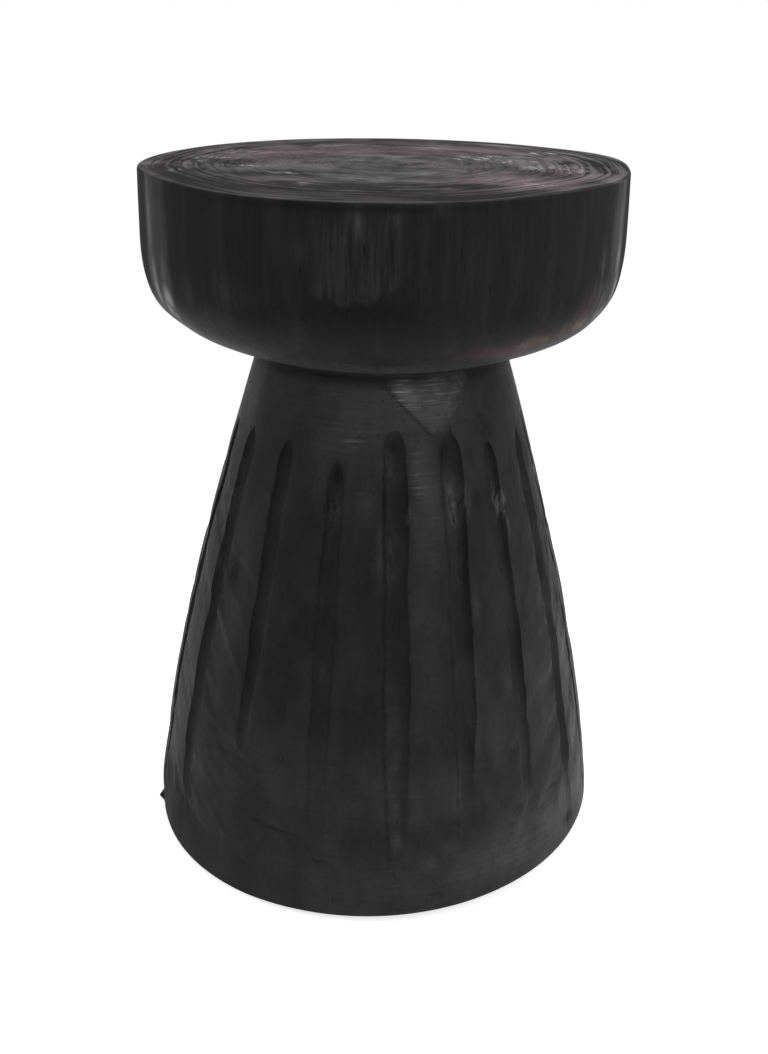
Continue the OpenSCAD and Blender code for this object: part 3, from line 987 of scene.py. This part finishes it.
# The stain's black, also used for painted shade at the pedestal's joint and under the head's rim
STAIN_AND_SHADE_BLACK = grey(0.002)
BARE_WOOD = grey(0.45)
PALE_TOP = (0.153, 0.148, 0.149, 1.0)
MAUVE_TOP = (0.172, 0.128, 0.145, 1.0)
MAUVE_SIDE = (0.056, 0.030, 0.041, 1.0)
WORN_BROWN = (0.07, 0.046, 0.032, 1.0)
FLAKED_BROWN = (0.105, 0.06, 0.035, 1.0)


def grain(wood):
    """Upright fibres and open pores, as values from 0 to 1."""
    fibres = wood.noise(wood.place(520, 14), 4, 0.6)
    pores = wood.spread(wood.noise(wood.place(1500, 90), 2, 0.5), 0.66, 0.74)
    return fibres, pores


def pedestal_wood():
    """Black-stained wood: upright fibres, open pores, turned lines, rubbed patches, painted highlights, and
    painted shade in the flutes and under the head.
    """
    wood = Shader("pedestal_wood")
    fibres, pores = grain(wood)
    patches = wood.noise(wood.place(34, 22), 5, 0.65)
    lines = wood.noise(wood.place(26, 620), 3, 0.6)
    ragged = wood.noise(wood.place(110, 160), 5, 0.7)
    rub_and_light = wood.mark("rub_and_light", wood.spread(patches, 0.3, 0.62, 0.55, 1.25))
    inside = wood.plus(wood.mark("wedge"), wood.spread(ragged, 0.3, 0.7, -0.3, 0.3))
    wedge = wood.times(wood.spread(inside, 0.42, 0.95), wood.spread(lines, 0.34, 0.62, 0.6, 1.0))
    dashes = wood.times(wood.spread(lines, 0.52, 0.62), wood.spread(ragged, 0.4, 0.54))
    cut = wood.mark("cut", wood.spread(ragged, 0.35, 0.62, 0.3, 1.0))
    broken = wood.spread(wood.noise(wood.place(420, 50), 4, 0.7), 0.42, 0.6)
    # Scraped places are a little paler all over, and bare in dashes
    colour = wood.layers(
        grey(0.010),
        (wood.spread(fibres, 0.35, 0.7), grey(0.018)),
        (wood.spread(patches, 0.42, 0.68, 0, 0.8), grey(0.026)),
        # Rubbed paler, partly painted light where more light falls
        (wood.times(rub_and_light, wood.spread(lines, 0.36, 0.6, 0.72, 1.0)), grey(0.058)),
        (wedge, grey(0.084)),
        (wood.mark("bare", 0.065), BARE_WOOD),
        (wood.mark("bare", dashes), BARE_WOOD),
        # Painted shade along the flutes' edges, with some staining, and the knife lines
        (wood.times(cut, 0.75), grey(0.003)),
        (wood.mark("black", 0.9), grey(0.001)),
        # The flutes' floors, painted shade with some staining, and other darker places
        (wood.mark("floor", wood.spread(patches, 0.4, 0.6, 0.6, 0.2)), grey(0.004)),
        # Painted shade under the head's belly, with some staining in the joint
        (wood.mark("joint", 0.8), STAIN_AND_SHADE_BLACK),
        # Painted highlights
        (wood.mark("painted_gleam", broken), grey(0.085)),
        (pores, grey(0.003)),
    )
    rough = wood.plus(wood.spread(fibres, 0.3, 0.7, 0.48, 0.68), wood.mark("dull", 0.3))
    fine = wood.bump(fibres, 0.00018)
    fine = wood.bump(lines, 0.0001, fine)
    return wood.finish(Base_Color=colour, Roughness=rough, Specular_IOR_Level=SHEEN_LEVEL, Normal=fine)


def worn_top(wood):
    """The head's top: worn mottles, fine turned rings, painted shade at its front left, and a pale rim that
    is a painted highlight with some wear. Gives its colour and its rings.
    """
    rings = wood.noise(wood.ring_place(9, 350), 3, 0.55)
    mottles = wood.noise(wood.ring_place(26, 55), 5, 0.6, 0.4)
    blots = wood.noise(wood.place(42, 42), 5, 0.6, 0.4)
    mottles = wood.mix(wood.spread(wood.mark("turning"), 0, 1, 0.15, 0.75), blots, mottles, "VALUE")
    clouds = wood.noise(wood.place(17, 17), 3, 0.5)
    specks = wood.noise(wood.place(230, 230), 4, 0.7)
    turned_lines = wood.noise(wood.ring_place(20, 800), 3, 0.6)
    tone = wood.plus(wood.times(mottles, 0.7), wood.times(clouds, 0.3))
    tone = wood.plus(wood.spread(tone, 0.42, 0.62, 0.1, 0.88), wood.spread(specks, 0.3, 0.7, -0.14, 0.14))
    tone = wood.plus(tone, wood.spread(turned_lines, 0.35, 0.65, -0.15, 0.15))
    ring = wood.mark("ringed", wood.spread(rings, 0.40, 0.60, -0.45, 0.4))
    spots = wood.mark("spots", wood.spread(specks, 0.35, 0.62, 0.6, 1.4))
    tone = wood.plus(wood.plus(tone, ring), spots)
    # Painted shade across the top's front left
    tone = wood.times(tone, wood.spread(wood.mark("shade"), 0.0, 1.0, 1.0, 0.45))
    pale = wood.mix(wood.mark("mauve"), PALE_TOP, MAUVE_TOP)
    chipped = wood.spread(wood.noise(wood.ring_place(70, 200), 4, 0.7), 0.5, 0.6)
    # Painted highlight along the rim, with some wear
    rim = wood.mark("rim", wood.spread(mottles, 0.35, 0.6, 0.2, 1.0))
    rim = wood.times(rim, wood.spread(chipped, 0.0, 1.0, 0.5, 1.0))
    flecks = wood.mark("flecks", chipped)
    return wood.layers(grey(0.014), (tone, pale), (flecks, grey(0.36)), (rim, grey(0.12))), rings


def head_wood():
    """Black-stained wood of the head: planed side, brown worn spots and a paler, ringed top, with painted
    highlights on its facets and rim, and painted shade under its rim.
    """
    wood = Shader("head_wood")
    fibres, pores = grain(wood)
    streaks = wood.noise(wood.place(95, 9), 3, 0.6)
    comb = wood.noise(wood.place(330, 30), 3, 0.6)
    flakes = wood.spread(wood.noise(wood.place(130, 60), 4, 0.7), 0.42, 0.56)
    top, rings = worn_top(wood)
    colour = wood.layers(
        grey(0.012),
        (wood.spread(fibres, 0.35, 0.7), grey(0.018)),
        (wood.spread(streaks, 0.48, 0.72, 0, 0.7), grey(0.028)),
        (wood.mark("patch", wood.spread(comb, 0.36, 0.62)), grey(0.032)),
        # Painted highlights on the facets, with some grey rubbing
        (wood.mark("facet_glint_and_rub", wood.spread(comb, 0.34, 0.6, 0.25, 1.0)), grey(0.27)),
        (wood.mark("mauve_side", wood.spread(streaks, 0.35, 0.6, 0.6, 1.0)), MAUVE_SIDE),
        (wood.mark("worn", 0.45), WORN_BROWN),
        # Painted shade under the rim, and darker places
        (wood.mark("dark", 0.75), STAIN_AND_SHADE_BLACK),
        (pores, STAIN_AND_SHADE_BLACK),
        (wood.mark("top"), top),
        (wood.mark("worn", flakes), FLAKED_BROWN),
    )
    rough = wood.plus(wood.spread(fibres, 0.3, 0.7, 0.48, 0.64), wood.mark("matt", 0.26))
    rough = wood.math("MAXIMUM", rough, wood.mark("top", wood.spread(rings, 0.4, 0.6, 1.0, 0.86)))
    ring_bump = wood.times(rings, wood.mark("top"))
    fine = wood.bump(fibres, 0.00015)
    fine = wood.bump(ring_bump, 0.0006, fine)
    return wood.finish(Base_Color=colour, Roughness=rough, Specular_IOR_Level=SHEEN_LEVEL, Normal=fine)


def plain_material(name, colour, roughness, metallic=0.0):
    """A small hidden part's material, with a fine mottle."""
    plain = Shader(name)
    mottle = plain.noise(plain.place(900, 900), 3, 0.6)
    darker = tuple(c * 0.75 for c in colour[:3]) + (1.0,)
    shade = plain.mix(plain.spread(mottle, 0.35, 0.65), darker, colour)
    rough = plain.spread(mottle, 0.3, 0.7, roughness - 0.06, roughness + 0.06)
    fine = plain.bump(mottle, 0.00005)
    return plain.finish(Base_Color=shade, Roughness=rough, Metallic=metallic, Normal=fine)


def dress(node, material):
    """Gives a CAD node a material in place of its packed one."""
    piece = frame["nodes"][node]
    if not piece.material_slots:
        piece.data.materials.append(material)
    for held in piece.material_slots:
        held.material = material


# Stage, lights and camera

PHOTO_H = 1054
CAMERA_DISTANCE = 770.0
CAMERA_HEIGHT = 548.3
CAMERA_PITCH = 23.75
CAMERA_FOCAL_PX = 1211.0
CAMERA_ROLL = 1.05
AXIS_OFFSET_PX = 5.7
SENSOR = 36.0


def seen_share(nodes):
    """1 for what the camera sees itself, in gloss or through glass, and 0 for light that falls on things."""
    rays = nodes.add("ShaderNodeLightPath").outputs
    first = nodes.math("MAXIMUM", rays["Is Camera Ray"], rays["Is Glossy Ray"])
    return nodes.math("MAXIMUM", first, rays["Is Transmission Ray"])


def white_stage(name, shade, glow):
    """A pale material that keeps shadows. Where it is seen, a glow lifts it to white."""
    material = bpy.data.materials.new(name)
    material.use_nodes = True
    material.node_tree.nodes.clear()
    nodes = Nodes(material.node_tree)
    strength = nodes.times(seen_share(nodes), glow)
    light = nodes.add("ShaderNodeEmission", {"Strength": strength})
    matt = nodes.add("ShaderNodeBsdfDiffuse", {"Color": grey(shade)})
    both = nodes.add("ShaderNodeAddShader")
    nodes.put(both.inputs[0], light.outputs["Emission"])
    nodes.put(both.inputs[1], matt.outputs["BSDF"])
    nodes.add("ShaderNodeOutputMaterial", {"Surface": both.outputs["Shader"]})
    return material


FLOOR_R = 0.7
FLOOR_SIDES = 96
ROOM_LEVEL = 0.5
LAMP_AIM = (0, 0, 0.25)


def floor():
    """A round pale floor."""
    turns = [2 * math.pi * n / FLOOR_SIDES for n in range(FLOOR_SIDES)]
    points = [(FLOOR_R * math.cos(turn), FLOOR_R * math.sin(turn), 0) for turn in turns]
    mesh = bpy.data.meshes.new("floor")
    mesh.from_pydata(points, [], [tuple(range(FLOOR_SIDES))])
    mesh.materials.append(white_stage("floor_white", 0.8, 0.7))
    piece = in_scene("floor", mesh)


def world(level):
    """Plain grey light all round, which is seen as white."""
    made = bpy.data.worlds.new("studio")
    made.use_nodes = True
    nodes = Nodes(made.node_tree)
    back = nodes.tree.nodes["Background"].inputs
    nodes.put(back["Color"], grey(1))
    nodes.put(back["Strength"], nodes.spread(seen_share(nodes), 0.0, 1.0, level, 1.0))
    bpy.context.scene.world = made


def soft_box(name, place, size, power):
    """A rectangular lamp that faces the middle of the stool."""
    data = bpy.data.lights.new(name, "AREA")
    data.shape = "RECTANGLE"
    data.size, data.size_y = size
    data.energy = power
    lamp = in_scene(name, data)
    lamp.location = place
    lamp.rotation_euler = (Vector(LAMP_AIM) - Vector(place)).to_track_quat("-Z", "Y").to_euler()


def camera():
    """The photograph's viewpoint, worked out from the stool's outline."""
    data = bpy.data.cameras.new("camera")
    data.sensor_width = SENSOR
    data.lens = CAMERA_FOCAL_PX / PHOTO_H * SENSOR
    seen = in_scene("camera", data)
    seen.location = (0, -CAMERA_DISTANCE * MM, CAMERA_HEIGHT * MM)
    yaw = -math.atan(AXIS_OFFSET_PX / CAMERA_FOCAL_PX)
    look = Euler((math.radians(90 - CAMERA_PITCH), 0, yaw), "XYZ").to_matrix()
    roll = Euler((0, 0, math.radians(CAMERA_ROLL)), "XYZ").to_matrix()
    seen.rotation_euler = (look @ roll).to_euler()
    bpy.context.scene.camera = seen


# The stool on its stage

camera()
world(ROOM_LEVEL)
floor()
soft_box("left_box", (-1.3, -0.1, 0.9), (0.9, 1.3), 2.5)
soft_box("right_box", (1.3, -0.45, 0.9), (0.9, 1.3), 8)
soft_box("top_box", (0.3, 0.3, 1.8), (1.6, 1.0), 10)

pedestal(pedestal_wood())
seat_head(head_wood())
felt = plain_material("glide_felt", (0.09, 0.085, 0.08, 1), 0.9)
for number in (1, 2, 3, 4):
    felt_pad(number, felt)

beech = plain_material("beech", (0.55, 0.38, 0.2, 1), 0.55)
plastic = plain_material("glide_plastic", (0.03, 0.03, 0.032, 1), 0.5)
steel = plain_material("glide_steel", (0.6, 0.6, 0.61, 1), 0.35, 1.0)
for node in frame["nodes"]:
    for start, material in (("neck_", beech), ("glide_cup", plastic), ("glide_nail", steel)):
        if node.startswith(start):
            dress(node, material)

bpy.context.scene.view_settings.view_transform = "Standard"
